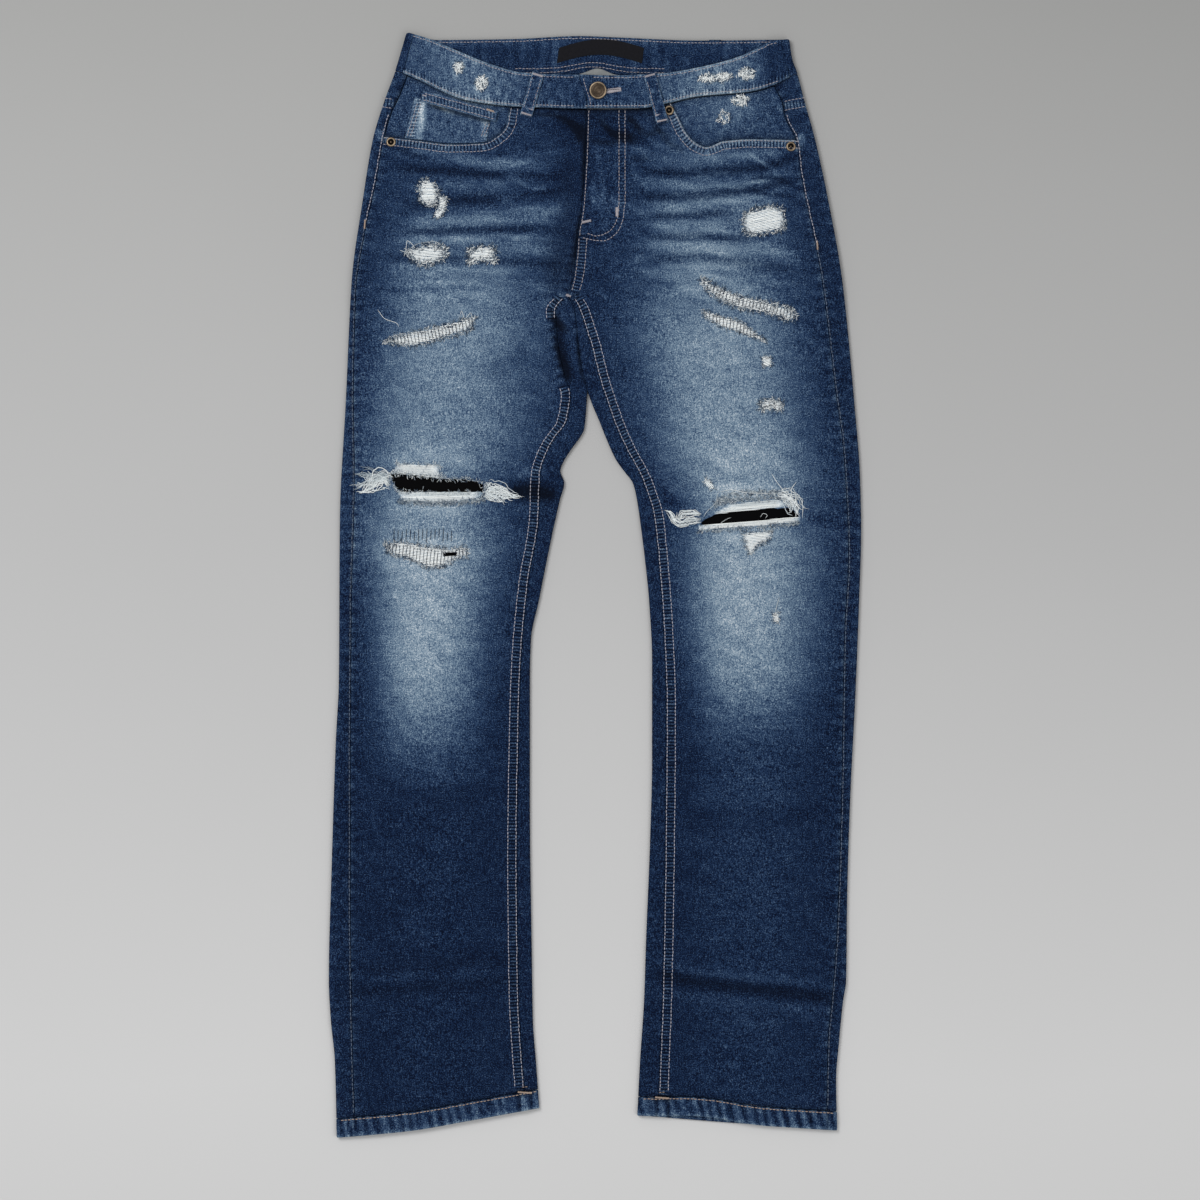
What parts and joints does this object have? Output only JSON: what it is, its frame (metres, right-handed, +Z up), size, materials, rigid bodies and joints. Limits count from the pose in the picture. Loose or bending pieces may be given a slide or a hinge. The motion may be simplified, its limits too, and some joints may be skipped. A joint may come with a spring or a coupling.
{
  "type": "ripped jeans",
  "caption": "Slim straight ripped denim jeans lying flat on their back, legs together, with frayed thighs and both knees open.",
  "frame": {"origin": "middle of the garment's outline on the surface that it lies on", "axes": "+Z up, out of the front of the jeans; +Y along the legs from hem to waist; +X towards the wearer's left leg"},
  "size_m": [0.532, 1.1033, 0.015],
  "materials": {
    "denim": "washed indigo twill with pale worn thighs and shins",
    "band_facing": "pale undyed reverse of the denim",
    "knee_backing": "matt black cotton",
    "label": "smooth black woven tape, bare",
    "brass": "antiqued, worn",
    "zip": "metal zip on cotton tape"
  },
  "bodies": {
    "root": {"front_right": "denim", "front_left": "denim", "back_right": "denim", "back_left": "denim", "yoke_right": "denim", "yoke_left": "denim", "back_pocket_right": "denim", "back_pocket_left": "denim", "pocket_facing_right": "denim", "pocket_facing_left": "denim", "coin_pocket": "denim", "fly_facing": "denim", "fly_shield": "denim", "waistband_front_right": "denim", "waistband_front_left": "denim", "waistband_back": "denim", "belt_loop_front_right": "denim", "belt_loop_front_left": "denim", "belt_loop_back_right": "denim", "belt_loop_back": "denim", "belt_loop_back_left": "denim", "hem_right": "denim", "hem_left": "denim", "waistband_underlap": "band_facing", "knee_backing_right": "knee_backing", "knee_backing_left": "knee_backing", "waist_label": "label", "button": "brass", "rivet_right": "brass", "rivet_left": "brass", "rivet_left_inner": "brass", "zip": "zip"}
  },
  "joints": []
}
